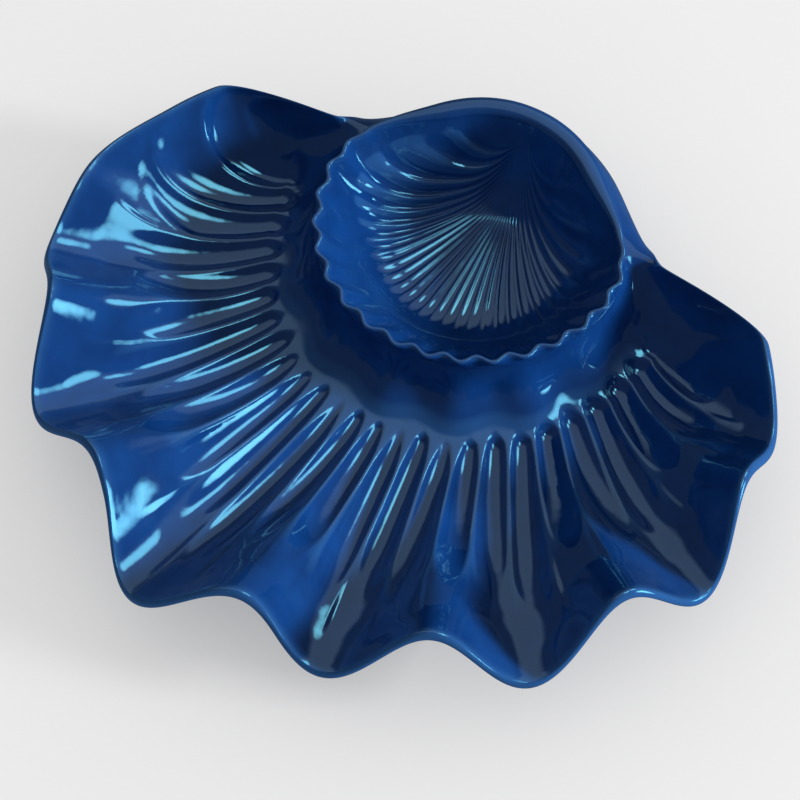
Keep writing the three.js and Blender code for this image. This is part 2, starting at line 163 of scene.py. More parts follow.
class DishTray(bpy.types.PropertyGroup):
    """Sizes of the fluted tray."""
    half_width: length("Half width", "Half the width of the rim's ellipse", 0.1624)
    half_depth: length("Half depth", "Half the depth of the rim's ellipse", 0.1397)
    forward: length("Forward", "How far the ellipse lies in front of the bowl's centre", 0.068)
    height: length("Rim height", "Mean height of the rim in front", 0.044)
    end_height: length("End height", "Height of the rim at either end", 0.047)
    rises: span("Rises", "Angles over which the rim rises to its ends", (41, 98))
    lobe_angle: angle("Lobe angle", "Angle from lobe to lobe on the right", 23.1)
    left_lobe_angle: angle("Left lobe angle", "Angle from lobe to lobe on the left", 24.2)
    lobe_in_out: length("Lobe in and out", "Swing of the rim in plan", 0.0154)
    lobe_up_down: length("Lobe up and down", "Swing of the rim in height", 0.025)
    lobes_fade: span("Lobes fade", "Angles over which the right lobes die away", (57, 96))
    left_lobes_fade: span("Left lobes fade", "Angles over which the left lobes die away", (46, 75))
    swell: length("Swell", "How much further the lobe left of the front reaches", 0.0124)
    swell_angle: angle("Swell angle", "Where the swollen lobe is", -7)
    swell_spread: angle("Swell spread", "Reach of the swell to either side", 12.8)
    shoulder: length("Shoulder", "How much further the rim's left end reaches", 0.005)
    shoulder_angle: angle("Shoulder angle", "Where the shoulder is", -72)
    shoulder_spread: angle("Shoulder spread", "Reach of the shoulder to either side", 13)
    floor: length("Floor height", "Height of the tray's floor over the table", 0.011)
    floor_curve: number("Floor curve", "Power by which the floor rises to the rim", 1.8)
    moat: length("Moat run", "Plan width of the hollow curve between bowl and floor", 0.024)
    thickness: length("Thickness", "Thickness of the tray's wall", 0.0045)
    collar: length("Collar thickness", "Thickness of the collar's upper edge", 0.003)
    roll: length("Lip roll", "How far the rounded lip stands out", 0.0011)
    closes: span("Closes", "Angles over which the tray draws in to the bowl", (92.6, 104.2))
    pocket_closes: span("Pocket closes", "Angles over which the hollow turns into the skirt", (84, 108))
    junction: length("Junction", "Width left between bowl and rim at either end", 0.012)
    skirt_drops: span("Skirt drops", "Angles over which the rim comes down behind the bowl", (98, 140))
    skirt_radius: length("Skirt radius", "Radius of the skirt's lower edge", 0.0687)
    skirt_bulge: length("Skirt bulge", "How far the skirt swells out", 0.008)
    skirt_clearance: length("Skirt clearance", "Gap between skirt and table", 0.007)
    panel: length("Panel", "Swing of the collar wall below the bowl's lip", 0.0022)
    panel_reach: number("Panel reach", "Where the swing ends: 0 is the collar's top, 1 its foot", 1.1)
    flutes: tally("Flutes", "Flutes laid out on each side, and seen on the left", 14)
    right_flutes: tally("Right flutes", "Flutes seen on the right", 13)
    flutes_end: number("Flutes end", "Number of flutes over which the last ones die away", 1.2)
    flute_angle: angle("Flute angle", "Angle of the first flute", 5.1)
    flute_growth: number("Flute growth", "How flutes widen away from the front", 0.00165)
    flute_lean: angle("Flute lean", "Turn of the flutes at the collar", 10)
    flute_flare: angle("Flute flare", "Turn of the right flutes at the rim", 7)
    left_flare: angle("Left flute flare", "Turn of the left flutes at the rim", 15)
    flute_depth: length("Flute depth", "Depth of a flute from crest to channel", 0.0033)
    flute_crest: number("Flute crest", "Share of a channel's half width before it eases to its crest", 0.82)
    flute_rise: pair("Flute rise", "Where ridges gain height: 0 is the collar's top, 1 its foot", (0.3, 0.75))
    flute_sides: span("Flute sides", "Angles over which heads and tails move", (15, 60))
    flute_head: pair("Flute heads", "Where channels begin, in front and at the sides", (0.88, 0.66))
    flute_tail: pair("Flute tails", "Where channels end, in front and at the sides: 2 is the rim", (1.86, 1.76))
    flute_ends: pair("Flute ends", "Lengths of a channel's pointed head and tail", (0.3, 0.35))
    flute_fade: pair("Flute fade", "Lengths over which ridges die away: most of them, the left ones", (0.3, 0.12))
    flute_scatter: pair("Flute scatter", "How far heads and tails stray from their row", (0.03, 0.06))
    sweep_fades: span("Sweep fades", "Angles over which lean and flare die away", (80, 130))
    left_depth: number("Left depth", "Depth of the last left flutes as a share of the others", 0.72)
    left_shallows: span("Left shallows", "Angles over which the left flutes turn shallow", (35, 65))
    left_runs_on: span("Left runs on", "Angles over which the left flutes come to run on to the rim", (60, 72))
    unevenness: length("Unevenness", "Swing of slow hand-made waviness", 0.0009)


class DishBowl(bpy.types.PropertyGroup):
    """Sizes of the dip bowl."""
    radius: length("Radius", "Outer radius of the lip in front", 0.0722)
    back_radius: length("Back radius", "Outer radius of the lip at the back", 0.062)
    narrows: span("Narrows", "Angles over which the lip narrows to the back", (85, 135))
    front_height: length("Front height", "Height of the lip in front", 0.046)
    back_height: length("Back height", "Height of the lip at the back", 0.058)
    rises: span("Rises", "Angles over which the lip rises to the back", (60, 176))
    floor: length("Floor height", "Height of the bowl's floor over the table", 0.014)
    flat: number("Flat floor", "Share of the radius that is flat floor", 0.4)
    curve: number("Wall curve", "Power by which the inside rises from floor to lip", 2.2)
    wall: length("Wall", "Thickness of the bowl's wall", 0.0038)
    lip_width: length("Lip width", "Width of the rolled lip in front", 0.0026)
    roll_width: length("Roll width", "Width of the rolled lip behind", 0.010)
    rolls: span("Rolls", "Angles over which the lip broadens to the back", (98, 145))
    lip_depth: length("Lip depth", "Depth of the rolled lip", 0.0045)
    lip_crest: number("Lip crest", "Share of the lip's width outside its highest line", 0.5)
    lip_round: length("Lip rounding", "Depth of the rounding on the lip's outer side in front", 0.0018)
    roll_round: length("Roll rounding", "Depth of that rounding behind", 0.0038)
    lip_dip: length("Lip dip", "How far the lip falls to its inner side in front", 0.0006)
    roll_dip: length("Roll dip", "How far the lip falls to its inner side behind", 0.0032)
    scallop: length("Scallop", "Swing of the scalloped lip", 0.0015)
    scallops_fade: span("Scallops fade", "Angles over which the scallops die away", (85, 115))
    hub: number("Hub", "Where the flutes meet, as a share of the way to the lip behind", 0.96)
    flutes: tally("Flutes", "Flutes on each side of the front", 15)
    flutes_end: number("Flutes end", "Number of flutes over which the last ones die away", 1.5)
    flute_lean: angle("Flute lean", "Turn of the flutes at the hub", 25)
    flute_angle: angle("Flute angle", "Angle of the first flute about the hub", 4.2)
    flute_growth: number("Flute growth", "How flutes widen away from the front", 0.0012)
    flute_depth: length("Flute depth", "Depth of a flute from crest to channel", 0.0009)
    flute_crest: number("Flute crest", "Share of a channel's half width before it eases to its crest", 0.74)
    flute_full: number("Flute full", "Where flutes reach their full depth: 0 is the hub, 1 the lip", 0.6)
    flute_sides: span("Flute sides", "Angles over which tails move", (15, 60))
    flute_head: number("Flute heads", "Where channels begin", 0.02)
    flute_tail: pair("Flute tails", "Where channels end, in front and at the sides", (0.86, 1.0))
    flute_ends: pair("Flute ends", "Lengths of a channel's pointed head and tail", (0.12, 0.2))
    flute_fade: number("Flute fade", "Length over which flutes die away before their tails", 0.25)
    folds: span("Folds", "Angles over which the left flutes deepen into folds", (25, 60))
    fold_depth: number("Fold depth", "Depth of a fold as a multiple of a flute's", 3.4)
    unevenness: length("Unevenness", "Swing of slow hand-made waviness", 0.0006)


class DishFoot(bpy.types.PropertyGroup):
    """Sizes of the feet and the slip joint."""
    width: length("Foot width", "Width of either foot at its top", 0.007)
    taper: length("Foot taper", "How much each side of a foot draws in", 0.001)
    offset: length("Tray foot offset", "From the moat's outer edge to the tray's foot", 0.014)
    allowance: length("Run allowance", "Added to the floor's run where the tray's foot is placed", 0.0005)
    end: angle("Tray foot end", "Where the tray's foot ends at either side", 80)
    draw_in: angle("Draw in", "Angle over which the foot's ends draw in", 2.8648)
    narrowest: number("Narrowest", "Share of the foot's width that is left at its ends", 0.2)
    bowl_radius: length("Bowl foot radius", "Outer radius of the bowl's foot", 0.026)
    rounding: length("Edge rounding", "Rounding of the wiped lower edges", 0.0012)
    gap: length("Joint gap", "Gap left between luted pieces", 0.0003)
    slip: length("Slip thickness", "Thickness of the bed of slip under the bowl's lip", 0.0009)
    slip_fill: number("Slip fill", "Share of the gap on either side that the slip fills", 0.85)


class DishLook(bpy.types.PropertyGroup):
    """Colours of the finishes."""
    cobalt: colour("Cobalt", "Glaze over most of the dish", "#104388")
    pooled: colour("Pooled cobalt", "Glaze gathered thick in the channels", "#0a2f6a")
    # On the rim and the bowl's lip this paler blue is thin glaze and also a painted highlight.
    thin: colour("Thin cobalt", "Glaze drawn thin over crests and edges", "#3a73b0")
    clay: colour("Clay", "Bare fired clay of the feet", "#d9cdb6")
    clay_dark: colour("Clay grog", "Darker grains in the clay", "#a8977a")
    floor: colour("Floor", "Pale floor", "#ebebeb")
    paper: colour("Paper", "How much light the floor gives back", "#959595")


class ShellDish(bpy.types.PropertyGroup):
    """Everything a user may change on the dish."""
    tray: bpy.props.PointerProperty(type=DishTray)
    bowl: bpy.props.PointerProperty(type=DishBowl)
    foot: bpy.props.PointerProperty(type=DishFoot)
    look: bpy.props.PointerProperty(type=DishLook)


def ease(value, bounds):
    share = np.clip((value - bounds[0]) / (bounds[1] - bounds[0]), 0, 1)
    return share * share * (3 - 2 * share)


def mix(start, end, share):
    return start + (end - start) * share


def polar(turn, radius, height):
    """Points of the frame from angles about the bowl's centre."""
    x = CENTRE.x + radius * np.sin(turn)
    y = CENTRE.y - radius * np.cos(turn)
    return np.stack(np.broadcast_arrays(x, y, height), axis=-1)


def direction(turn, across, up):
    """Vectors from their part away from the bowl's centre and their upward part."""
    return np.stack(np.broadcast_arrays(across * np.sin(turn), -across * np.cos(turn), up), axis=-1)


def flute_turn(flute, step, growth):
    """Angle of a flute from its number, counted from the front."""
    return step * flute * (1 + growth * flute * flute)


def lobe_pitch(tray, turn):
    return np.where(turn < 0, tray.left_lobe_angle, tray.lobe_angle)


def lobe_wave(tray, turn):
    """Swing of the lobes: 1 at the tip of a lobe, -1 between two."""
    side = np.abs(turn)
    fade = np.where(turn < 0, ease(side, tray.left_lobes_fade), ease(side, tray.lobes_fade))
    return -np.cos(2 * np.pi * turn / lobe_pitch(tray, turn)) * (1 - fade)


def bowl_lip(bowl, turn):
    """Radius and height of the bowl's lip without scallops."""
    side = np.abs(turn)
    radius = mix(bowl.radius, bowl.back_radius, ease(side, bowl.narrows))
    return radius, mix(bowl.front_height, bowl.back_height, ease(side, bowl.rises))


def roll_share(bowl, turn):
    """How far the rolled lip has broadened: 0 in front, 1 behind."""
    return ease(np.abs(turn), bowl.rolls)


def lip_wave(dish, turn):
    """Scallops of the bowl's lip, two to each lobe of the rim, dying away to the back."""
    fade = 1 - ease(np.abs(turn), dish.bowl.scallops_fade)
    return dish.bowl.scallop * np.cos(4 * np.pi * turn / lobe_pitch(dish.tray, turn)) * fade


def tray_rim(dish, turn):
    """Radius and height of the tray's rim: an ellipse with lobes in front, the skirt's lower edge behind."""
    tray, bowl = dish.tray, dish.bowl
    side = np.abs(turn)
    across, ahead = np.sin(turn), np.cos(turn)
    a = (across / tray.half_width) ** 2 + (ahead / tray.half_depth) ** 2
    b = tray.forward * ahead / tray.half_depth ** 2
    c = (tray.forward / tray.half_depth) ** 2 - 1
    ellipse = (b + np.sqrt(b * b - a * c)) / a
    drop = ease(side, tray.skirt_drops)
    lobe = lobe_wave(tray, turn)
    swell = tray.swell * (1 - ease(np.abs(turn - tray.swell_angle), (0, tray.swell_spread)))
    shoulder = tray.shoulder * (1 - ease(np.abs(turn - tray.shoulder_angle), (0, tray.shoulder_spread)))
    junction = mix(bowl.radius + tray.junction, tray.skirt_radius, drop)
    plain = mix(ellipse, junction, ease(side, tray.closes))
    height = mix(tray.height, tray.end_height, ease(side, tray.rises))
    radius = plain + tray.lobe_in_out / 2 * lobe + swell + shoulder
    return radius, mix(height, tray.skirt_clearance, drop) - tray.lobe_up_down / 2 * lobe


def tray_section(dish, turn, along):
    """Upper surface of the tray without flutes: along 0 to 1 down the collar, 1 to 2 over the floor to the lip."""
    tray, bowl, foot = dish.tray, dish.bowl, dish.foot
    side = np.abs(turn)
    top_radius, lip_height = bowl_lip(bowl, turn)
    rim_radius, rim_height = tray_rim(dish, turn)
    top_height = lip_height - bowl.lip_depth - foot.slip - 2 * foot.gap
    wall, floor = np.clip(along, 0, 1), np.clip(along - 1, 0, 1)
    hollow_radius = top_radius + tray.moat * (1 - np.cos(np.pi / 2 * wall))
    hollow_radius = np.where(along > 1, mix(top_radius + tray.moat, rim_radius, floor), hollow_radius)
    hollow_height = mix(top_height, tray.floor, np.sin(np.pi / 2 * wall))
    hollow_height = np.where(along > 1, mix(tray.floor, rim_height, floor ** tray.floor_curve), hollow_height)
    panel = -tray.panel * lobe_wave(tray, turn) * np.sin(np.pi * np.clip(along / tray.panel_reach, 0, 1)) ** 2
    share = along / 2
    bulge = tray.skirt_bulge * ease(side, tray.skirt_drops)
    skirt_radius = mix(top_radius, rim_radius, share) + bulge * np.sin(np.pi * share)
    skirt_height = mix(top_height, rim_height, share)
    closed = ease(side, tray.pocket_closes)
    return mix(hollow_radius + panel, skirt_radius, closed), mix(hollow_height, skirt_height, closed)


def normal(before, after):
    """Outward and upward parts of the normal between two points of a section."""
    run, rise = after[0] - before[0], after[1] - before[1]
    size = np.hypot(run, rise)
    return -rise / size, run / size


def tray_surface(dish, turn, along):
    """Radius and height on the tray's upper surface, then the outward and upward parts of its normal."""
    before = tray_section(dish, turn, np.maximum(along - PROBE, 0))
    after = tray_section(dish, turn, np.minimum(along + PROBE, 2))
    return *tray_section(dish, turn, along), *normal(before, after)


def swept_turn(tray, turn, along):
    """Flutes leave the collar aimed away from the front, straighten over the floor and bend out to the lip."""
    floor = np.maximum(along - 1, 0)
    across = np.sin(turn)
    lean = tray.flute_lean * across * (1 - floor) ** 2
    flare = np.where(turn < 0, tray.left_flare, tray.flute_flare) * across * np.abs(across) * floor ** 2
    fade = 1 - ease(np.abs(turn), tray.sweep_fades)
    return turn + (lean + flare) * fade


def pointed(head):
    """Turns the round ends of channels into pointed ones: 0 is an end, 1 and over is inside."""
    end = 1 - np.clip(head, 0, 1)
    return 1 - np.sqrt(1 - (1 - end * end) ** 2)


def tray_stations(tray):
    """Turn, flute count and flute strength of every section round the tray."""
    reach = tray.flutes * TRAY_STATIONS_PER_FLUTE
    flute = np.arange(-reach, reach + 1) / TRAY_STATIONS_PER_FLUTE
    turn = flute_turn(flute, tray.flute_angle, tray.flute_growth)
    last = np.where(flute < 0, tray.flutes, tray.right_flutes)
    strength = 1 - ease(np.abs(flute) - last, (-tray.flutes_end, 0))
    share = np.arange(1, TRAY_BACK_STATIONS) / TRAY_BACK_STATIONS
    share = share - BACK_CROWDING * np.sin(2 * np.pi * share) / (2 * np.pi)
    back = mix(turn[-1], 2 * np.pi - turn[-1], share)
    back = np.where(back > np.pi, back - 2 * np.pi, back)
    blank = np.zeros_like(back)
    return np.concatenate([turn, back]), np.concatenate([flute, blank]), np.concatenate([strength, blank])


def full_turn(stations):
    return np.linspace(-np.pi, np.pi, stations, endpoint=False)[:, None]


def grid_faces(rows, columns, wrap):
    """Quads between rows of points; every row closes on itself, and wrap joins the last row to the first."""
    row = np.arange(rows if wrap else rows - 1)[:, None]
    column = np.arange(columns)[None, :]
    near, far = row * columns, (row + 1) % rows * columns
    following = (column + 1) % columns
    quads = np.stack([near + column, far + column, far + following, near + following], axis=-1)
    return quads.reshape(-1, 4).tolist()


def mesh_object(name, points, faces, finish=None, **attributes):
    """An object at the origin; attributes are floats or vectors, one for each point."""
    mesh = bpy.data.meshes.new(name)
    mesh.from_pydata(np.asarray(points).reshape(-1, 3).tolist(), [], faces)
    shell = bmesh.new()
    shell.from_mesh(mesh)
    bmesh.ops.recalc_face_normals(shell, faces=shell.faces)
    shell.to_mesh(mesh)
    shell.free()
    mesh.shade_smooth()
    if finish:
        mesh.materials.append(finish)
    for key, values in attributes.items():
        values = np.ascontiguousarray(values, dtype=np.float32)
        vector = values.shape[-1] == 3
        layer = mesh.attributes.new(key, "FLOAT_VECTOR" if vector else "FLOAT", "POINT")
        layer.data.foreach_set("vector" if vector else "value", values.ravel())
    made = bpy.data.objects.new(name, mesh)
    bpy.context.collection.objects.link(made)
    return made


def add_node(tree, kind, inputs=None, output=0, **settings):
    """Adds a node with its settings, fills its inputs with values or links, and returns one of its outputs."""
    node = tree.nodes.new(kind)
    for key, value in settings.items():
        setattr(node, key, value)
    for key, value in (inputs or {}).items():
        if isinstance(value, bpy.types.NodeSocket):
            tree.links.new(value, node.inputs[key])
        else:
            node.inputs[key].default_value = value
    return node.outputs[output] if node.outputs else None


def flute_tree():
    """Geometry nodes that press scooped flutes into a plain surface and note where glaze runs thin."""
    tree = bpy.data.node_groups.new("Press Flutes", "GeometryNodeTree")
    tree.interface.new_socket("Geometry", in_out="INPUT", socket_type="NodeSocketGeometry")
    for name, low, high in (("Depth", 0, 0.01), ("Level", 0, 1), ("Crest", 0.1, 0.95), ("Unevenness", 0, 0.002)):
        socket = tree.interface.new_socket(name, in_out="INPUT", socket_type="NodeSocketFloat")
        socket.min_value, socket.max_value = low, high
    tree.interface.new_socket("Finish", in_out="INPUT", socket_type="NodeSocketMaterial")
    tree.interface.new_socket("Geometry", in_out="OUTPUT", socket_type="NodeSocketGeometry")
    given = add_node(tree, "NodeGroupInput").node.outputs
    values = {socket.name: socket for socket in given}
    for name in ("flute", "press", "head", "loose"):
        values[name] = add_node(tree, "GeometryNodeInputNamedAttribute", {"Name": name}, data_type="FLOAT")
    out = add_node(tree, "GeometryNodeInputNamedAttribute", {"Name": "out"}, data_type="FLOAT_VECTOR")
    # Slow hand-made waviness, about 35 mm from swell to swell.
    values["wave"] = add_node(tree, "ShaderNodeTexNoise", {"Scale": 1 / 0.035, "Detail": 1.0, "Roughness": 0.4})
    for name, operation, *terms in FLUTE_STEPS:
        inputs = {i: values.get(term, term) for i, term in enumerate(terms)}
        values[name] = add_node(tree, "ShaderNodeMath", inputs, operation=operation)
    offset = add_node(tree, "ShaderNodeVectorMath", {0: out, "Scale": values["total"]}, operation="SCALE")
    moved = add_node(tree, "GeometryNodeSetPosition", {"Geometry": given["Geometry"], "Offset": offset})
    noted = add_node(
        tree, "GeometryNodeStoreNamedAttribute", {"Geometry": moved, "Name": "crest", "Value": values["thinned"]},
        data_type="FLOAT", domain="POINT")
    smooth = add_node(tree, "GeometryNodeSetShadeSmooth", {0: noted})
    whole = add_node(tree, "GeometryNodeRealizeInstances", {0: smooth})
    finished = add_node(tree, "GeometryNodeSetMaterial", {"Geometry": whole, "Material": given["Finish"]})
    add_node(tree, "NodeGroupOutput", {0: finished})
    return tree


def press_flutes(piece, finish, **sizes):
    """Runs the flute tree on a piece and leaves a plain mesh."""
    tree = bpy.data.node_groups.get("Press Flutes") or flute_tree()
    modifier = piece.modifiers.new("Flutes", "NODES")
    modifier.node_group = tree
    sockets = {item.name: item.identifier for item in tree.interface.items_tree if item.in_out == "INPUT"}
    for name, value in sizes.items():
        modifier[sockets[name.capitalize()]] = value
    modifier[sockets["Finish"]] = finish
    graph = bpy.context.evaluated_depsgraph_get()
    plain = bpy.data.meshes.new_from_object(piece.evaluated_get(graph))
    piece.modifiers.clear()
    piece.data = plain


def fresh_tree(owner):
    """The emptied node tree of a material or a world."""
    owner.use_nodes = True
    owner.node_tree.nodes.clear()
    return owner.node_tree


def cobalt_glaze(look):
    """Glossy cobalt glaze on slip-cast earthenware: a deep blue glass coat, thin and pale on crests and edges,
    where the pale rim and lip edges are also a painted highlight, darker where it pools, with a faint ripple
    that bends the reflections."""
    made = bpy.data.materials.get("cobalt glaze")
    if made:
        return made
    made = bpy.data.materials.new("cobalt glaze")
    tree = fresh_tree(made)
    place = add_node(tree, "ShaderNodeTexCoord", output="Object")
    crest = add_node(tree, "ShaderNodeAttribute", attribute_name="crest", output="Fac")
    edge = add_node(tree, "ShaderNodeAttribute", attribute_name="edge", output="Fac")
    # Cloudy pooling of the glaze, about 18 mm across.
    cloud = add_node(tree, "ShaderNodeTexNoise", {"Vector": place, "Scale": 1 / 0.018, "Detail": 3.0})
    pool = add_node(tree, "ShaderNodeMapRange", {0: cloud, 1: 0.35, 2: 0.7, 3: 0.0, 4: 0.6})
    body = add_node(
        tree, "ShaderNodeMix", {0: pool, 6: look.cobalt[:], 7: look.pooled[:]}, data_type="RGBA", output=2)
    ridge = add_node(tree, "ShaderNodeMapRange", {0: crest, 1: 0.75, 2: 1.0, 3: 0.0, 4: 0.35})
    # Crests show thin glaze; the rim and lip edges show thin glaze and a painted highlight.
    thin = add_node(tree, "ShaderNodeMath", {0: ridge, 1: edge}, operation="MAXIMUM")
    paint = add_node(tree, "ShaderNodeMix", {0: thin, 6: body, 7: look.thin[:]}, data_type="RGBA", output=2)
    # Ripple of the fired coat, about 7 mm, and finer orange peel, about 1.6 mm.
    ripple = add_node(tree, "ShaderNodeTexNoise", {"Vector": place, "Scale": 1 / 0.007, "Detail": 1.0})
    peel = add_node(tree, "ShaderNodeTexNoise", {"Vector": place, "Scale": 1 / 0.0016, "Detail": 2.0})
    both = add_node(tree, "ShaderNodeMath", {0: peel, 1: 0.05, 2: ripple}, operation="MULTIPLY_ADD")
    bump = add_node(tree, "ShaderNodeBump", {"Height": both, "Strength": 0.4, "Distance": 0.00026})
    gloss = add_node(tree, "ShaderNodeMapRange", {0: peel, 1: 0.3, 2: 0.7, 3: 0.03, 4: 0.075})
    shader = add_node(
        tree, "ShaderNodeBsdfPrincipled",
        {"Base Color": paint, "Roughness": gloss, "IOR": 1.58, "Normal": bump})
    add_node(tree, "ShaderNodeOutputMaterial", {"Surface": shader})
    return made


def bare_clay(look):
    """Unglazed fired earthenware: dry, matt and sandy, with darker grains of grog."""
    made = bpy.data.materials.get("bare fired clay")
    if made:
        return made
    made = bpy.data.materials.new("bare fired clay")
    tree = fresh_tree(made)
    place = add_node(tree, "ShaderNodeTexCoord", output="Object")
    # Grog grains about 0.8 mm and a slow blush of about 12 mm from the kiln.
    grain = add_node(tree, "ShaderNodeTexVoronoi", {"Vector": place, "Scale": 1 / 0.0016}, output="Distance")
    dark = add_node(tree, "ShaderNodeMapRange", {0: grain, 1: 0.12, 2: 0.3, 3: 0.75, 4: 0.0})
    blush = add_node(tree, "ShaderNodeTexNoise", {"Vector": place, "Scale": 1 / 0.012, "Detail": 4.0})
    stain = add_node(tree, "ShaderNodeMath", {0: dark, 1: blush}, operation="MULTIPLY")
    paint = add_node(
        tree, "ShaderNodeMix", {0: stain, 6: look.clay[:], 7: look.clay_dark[:]}, data_type="RGBA", output=2)
    sand = add_node(tree, "ShaderNodeTexNoise", {"Vector": place, "Scale": 1 / 0.0009, "Detail": 3.0})
    bump = add_node(tree, "ShaderNodeBump", {"Height": sand, "Strength": 0.5, "Distance": 0.0003})
    rough = add_node(tree, "ShaderNodeMapRange", {0: blush, 1: 0.3, 2: 0.7, 3: 0.78, 4: 0.92})
    shader = add_node(
        tree, "ShaderNodeBsdfPrincipled",
        {"Base Color": paint, "Roughness": rough, "IOR": 1.5, "Normal": bump})
    add_node(tree, "ShaderNodeOutputMaterial", {"Surface": shader})
    return made


def settle(piece, node):
    """Ties a finished piece to the root body and hides the part of its node."""
    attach(piece, "root")
    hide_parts(node)


class DISH_OT_tray(bpy.types.Operator):
    """Builds the fluted tray with its lobed rim, collar and skirt"""
    bl_idname = "dish.tray"
    bl_label = "Build Tray"

    def execute(self, context):
        dish = context.scene.shell_dish
        tray = dish.tray
        turn, flute, strength = tray_stations(tray)
        along = np.concatenate([
            [0, COLLAR_EDGE], np.linspace(0, 1, COLLAR_ROWS)[1:], np.linspace(1, 2, FLOOR_ROWS)[1:]])
        under = np.concatenate([np.linspace(2, 1, UNDER_FLOOR_ROWS), np.linspace(1, 0, UNDER_COLLAR_ROWS)[1:]])
        curl = np.linspace(np.pi / 2, -np.pi / 2, RIM_ROWS)[1:-1]

        turns = swept_turn(tray, turn[:, None], along)
        radius, height, across, up = tray_surface(dish, turns, along)
        top = polar(turns, radius, height)
        out = direction(turns, across, up)

        turns = swept_turn(tray, turn[:, None], np.array([2.0]))
        radius, height, across, up = tray_surface(dish, turns, 2.0)
        lift = tray.thickness / 2 * (np.sin(curl) - 1)
        push = tray.roll * np.cos(curl)
        lip = polar(turns, radius + across * lift + up * push, height + up * lift - across * push)

        turns = swept_turn(tray, turn[:, None], under)
        radius, height, across, up = tray_surface(dish, turns, under)
        drop = mix(tray.collar, tray.thickness, ease(under, (0, 1)))
        low = polar(turns, radius - across * drop, height - up * drop)

        left = -turn[:, None]
        sides = ease(np.abs(left), tray.flute_sides)
        stray = np.sin(FLUTE_STRAY * np.floor(flute))[:, None]
        head_stray, tail_stray = tray.flute_scatter
        start = mix(*tray.flute_head, sides) + head_stray * stray
        tail = mix(*tray.flute_tail, sides) + tail_stray * stray
        # The last flutes on the left have no tail and run on to the rim.
        runs_on = ease(left, tray.left_runs_on)
        tail = mix(tail, 2.0, runs_on)
        fades = 1 - np.clip((along - tail) / mix(*tray.flute_fade, runs_on) + 1, 0, 1) ** 2
        shallow = mix(1, tray.left_depth, ease(left, tray.left_shallows))
        press = ease(along, tray.flute_rise) * fades * shallow * strength[:, None]
        head_length, tail_length = tray.flute_ends
        head = pointed(np.minimum((along - start) / head_length, (tail - along) / tail_length + runs_on))
        rows = turn.size
        low_shape = (rows, curl.size + under.size)
        blank = np.zeros(low_shape)
        # The rim's edge and roll are painted pale: thin glaze and a painted highlight.
        edge = np.concatenate([ease(along, THIN_RIM_AND_HIGHLIGHT), np.ones(curl.size), np.zeros(under.size)])
        loose = np.concatenate([1 - ease(along, CALM_RIM), np.zeros(low_shape[1])])
        loops = np.concatenate([top, lip, low], axis=1)
        piece = mesh_object(
            "tray_shell_glazed", loops, grid_faces(rows, loops.shape[1], True),
            flute=np.concatenate([np.broadcast_to(flute[:, None], head.shape), blank], axis=1),
            press=np.concatenate([press, blank], axis=1),
            head=np.concatenate([head, blank], axis=1),
            out=np.concatenate([out, np.zeros(low_shape + (3,))], axis=1),
            edge=np.tile(RIM_THIN_GLAZE_AND_HIGHLIGHT * edge, (rows, 1)),
            loose=np.tile(loose, (rows, 1)))
        press_flutes(
            piece, cobalt_glaze(dish.look), depth=tray.flute_depth, level=FLUTE_LEVEL, crest=tray.flute_crest,
            unevenness=tray.unevenness)
        settle(piece, "tray_shell")
        return {"FINISHED"}


def bowl_mouth(bowl, turn):
    """Radius and height at which the bowl's inside meets its lip."""
    lip_radius, lip_height = bowl_lip(bowl, turn)
    roll = roll_share(bowl, turn)
    width, dip = mix(bowl.lip_width, bowl.roll_width, roll), mix(bowl.lip_dip, bowl.roll_dip, roll)
    return lip_radius - width, lip_height - dip


def bowl_inside(bowl, turn, share):
    """Radius and height of the bowl's inside: share 0 is its middle, 1 its mouth."""
    radius, height = bowl_mouth(bowl, turn)
    rise = (np.maximum(share - bowl.flat, 0) / (1 - bowl.flat)) ** bowl.curve
    return share * radius, mix(bowl.floor, height, rise)


